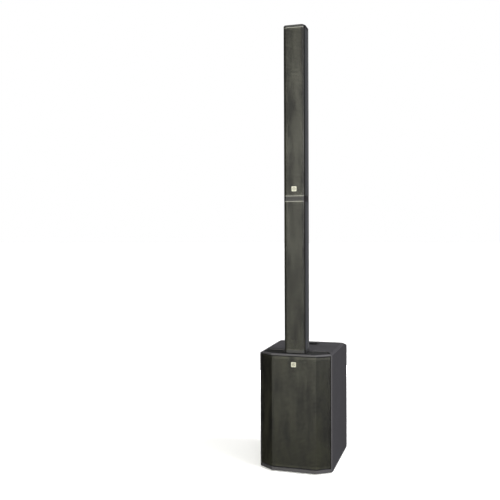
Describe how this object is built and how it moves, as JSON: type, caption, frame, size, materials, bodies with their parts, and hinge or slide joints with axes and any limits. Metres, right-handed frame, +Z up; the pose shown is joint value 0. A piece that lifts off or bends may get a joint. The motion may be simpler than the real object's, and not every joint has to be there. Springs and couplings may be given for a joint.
{
  "type": "column pa system",
  "caption": "Portable column loudspeaker: a powered subwoofer with a faceted perforated grille carries a tall plug-in column in stacked elements, the upper one with the mid and high drivers.",
  "frame": {"origin": "on the floor, at the centre of the subwoofer's footprint", "axes": "+Z up; the grilles face -Y; the controls face +Y; +X is on the right hand of someone who faces the grilles"},
  "size_m": [0.353, 0.47, 2.113],
  "materials": {
    "cabinet_paint": "textured black-grey paint",
    "ply": "sealed plywood",
    "grille_paint": "powder-coated perforated steel",
    "foam": "open-cell acoustic foam",
    "badge": "cream plate with dark frame",
    "cast": "black-coated die-cast",
    "magnet": "ferrite and zinc-plated steel",
    "spider": "resin-treated cloth",
    "screw": "black oxide",
    "paper": "coated paper pulp",
    "rubber": "moulded rubber",
    "coil": "copper winding",
    "moulded": "fine-grained moulding",
    "contacts": "glass-filled insulator with pins",
    "panel_paint": "fine powder coat",
    "zinc": "zinc-plated sheet",
    "sink": "black anodised",
    "pcb": "solder-masked laminate",
    "knob": "soft-touch moulding",
    "lens": "smoked lens",
    "column_paint": "textured black-grey powder coat",
    "cable": "cable jacket",
    "baffle": "glass-filled moulding"
  },
  "bodies": {
    "subwoofer": {"cabinet_shell": "cabinet_paint", "woofer_baffle": "ply", "sub_grille": "grille_paint", "sub_grille_foam": "foam", "sub_badge": "badge", "woofer_basket": "cast", "woofer_motor": "magnet", "woofer_spider": "spider", "woofer_screws": "screw", "port_tubes": "moulded", "column_dock": "moulded", "dock_socket": "contacts", "handle_cup": "moulded", "countersunk_screws": "screw", "feet": "rubber", "amp_panel": "panel_paint", "amp_panel_screws": "screw", "amp_housing": "zinc", "heat_sink": "sink", "amp_boards": "pcb", "combo_jacks": "moulded", "line_sockets": "moulded", "mains_inlet": "moulded", "switch_frame": "moulded", "status_lens": "lens", "woofer_lead": "cable"},
    "lower_column": {"lower_housing": "column_paint", "lower_grille": "grille_paint", "lower_grille_foam": "foam", "lower_bottom_cap": "moulded", "lower_top_cap": "moulded", "lower_plug": "contacts", "lower_socket": "contacts", "lower_wiring": "cable", "lower_cap_screws": "screw"},
    "upper_column": {"upper_housing": "column_paint", "upper_grille": "grille_paint", "upper_grille_foam": "foam", "upper_badge": "badge", "upper_bottom_cap": "moulded", "upper_top_cap": "moulded", "upper_plug": "contacts", "upper_wiring": "cable", "upper_cap_screws": "screw", "driver_baffle": "baffle", "mid_drivers": "cast", "tweeter_waveguide": "baffle", "tweeter_driver": "magnet"},
    "woofer_moving_parts": {"woofer_cone": "paper", "woofer_surround": "rubber", "woofer_dust_cap": "paper", "woofer_voice_coil": "coil"},
    "mid_cones": {"mid_cones": "paper"},
    "channel_1_knob": {"channel_1_knob": "knob"},
    "channel_2_knob": {"channel_2_knob": "knob"},
    "channel_3_knob": {"channel_3_knob": "knob"},
    "sub_level_knob": {"sub_level_knob": "knob"},
    "main_knob": {"main_knob": "knob"},
    "mode_button": {"mode_button": "knob"},
    "power_rocker": {"power_rocker": "knob"}
  },
  "joints": [
    {"name": "lower_column_lift", "type": "slide", "parent": "subwoofer", "child": "lower_column", "axis": [0, 0, 1], "range_m": [0, 0.06]},
    {"name": "upper_column_lift", "type": "slide", "parent": "lower_column", "child": "upper_column", "axis": [0, 0, 1], "range_m": [0, 0.06]},
    {"name": "woofer_stroke", "type": "slide", "parent": "subwoofer", "child": "woofer_moving_parts", "axis": [0, -1, 0], "range_m": [-0.006, 0.006], "stiffness_N_per_m": 4000},
    {"name": "mid_cone_stroke", "type": "slide", "parent": "upper_column", "child": "mid_cones", "axis": [0, -1, 0], "range_m": [-0.001, 0.001], "stiffness_N_per_m": 6000},
    {"name": "channel_1_knob_turn", "type": "hinge", "parent": "subwoofer", "child": "channel_1_knob", "pos_m": [0.084, 0.218, 0.458], "axis": [0, -1, 0], "range_deg": [-145, 145]},
    {"name": "channel_2_knob_turn", "type": "hinge", "parent": "subwoofer", "child": "channel_2_knob", "pos_m": [0.042, 0.218, 0.458], "axis": [0, -1, 0], "range_deg": [-145, 145]},
    {"name": "channel_3_knob_turn", "type": "hinge", "parent": "subwoofer", "child": "channel_3_knob", "pos_m": [0, 0.218, 0.458], "axis": [0, -1, 0], "range_deg": [-145, 145]},
    {"name": "sub_level_knob_turn", "type": "hinge", "parent": "subwoofer", "child": "sub_level_knob", "pos_m": [-0.042, 0.218, 0.458], "axis": [0, -1, 0], "range_deg": [-145, 145]},
    {"name": "main_knob_turn", "type": "hinge", "parent": "subwoofer", "child": "main_knob", "pos_m": [-0.084, 0.218, 0.458], "axis": [0, -1, 0], "range_deg": [-145, 145]},
    {"name": "mode_button_press", "type": "slide", "parent": "subwoofer", "child": "mode_button", "axis": [0, -1, 0], "range_m": [0, 0.0012], "stiffness_N_per_m": 600},
    {"name": "power_rocker_tilt", "type": "hinge", "parent": "subwoofer", "child": "power_rocker", "pos_m": [-0.002, 0.216, 0.148], "axis": [1, 0, 0], "range_deg": [0, 16]}
  ]
}
